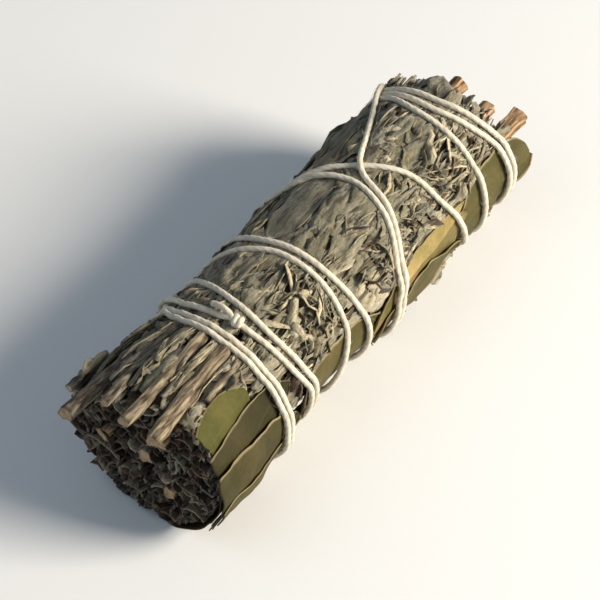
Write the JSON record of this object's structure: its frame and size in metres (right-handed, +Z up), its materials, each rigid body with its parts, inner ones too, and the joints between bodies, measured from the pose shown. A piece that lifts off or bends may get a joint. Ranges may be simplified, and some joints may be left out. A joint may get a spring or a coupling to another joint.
{
  "type": "smudge stick",
  "caption": "Short round bundle of dried sage sprigs with woody stems and broad outer leaves, bound along its length with knotted cotton string; lies on its side.",
  "frame": {"origin": "middle of the underside of the bundle's box, on the surface it lies on", "axes": "+X along the bundle from the cut end to the tip end, +Z up"},
  "size_m": [0.109, 0.0378, 0.0341],
  "materials": {
    "sage_leaf": "dry matt silvery grey green leaf, felted",
    "stem": "dry thin bark, pale cut ends",
    "broad_leaf": "dry smooth olive leaf, dull",
    "string": "soft twisted cotton"
  },
  "bodies": {
    "root": {"core_stem": "stem", "sprig_1_stem": "stem", "sprig_2_stem": "stem", "sprig_3_stem": "stem", "sprig_4_stem": "stem", "sprig_5_stem": "stem", "sprig_6_stem": "stem", "sprig_7_stem": "stem", "sprig_8_stem": "stem", "sprig_9_stem": "stem", "bare_stem_1": "stem", "bare_stem_2": "stem", "bare_stem_3": "stem", "bare_stem_4": "stem", "bare_stem_5": "stem", "core_leaves": "sage_leaf", "sprig_1_leaves": "sage_leaf", "sprig_2_leaves": "sage_leaf", "sprig_3_leaves": "sage_leaf", "sprig_4_leaves": "sage_leaf", "sprig_5_leaves": "sage_leaf", "sprig_6_leaves": "sage_leaf", "sprig_7_leaves": "sage_leaf", "sprig_8_leaves": "sage_leaf", "sprig_9_leaves": "sage_leaf", "broad_leaf_1": "broad_leaf", "broad_leaf_2": "broad_leaf", "broad_leaf_3": "broad_leaf", "broad_leaf_4": "broad_leaf", "broad_leaf_5": "broad_leaf", "broad_leaf_6": "broad_leaf", "broad_leaf_7": "broad_leaf", "broad_leaf_8": "broad_leaf", "binding_string": "string"}
  },
  "joints": []
}
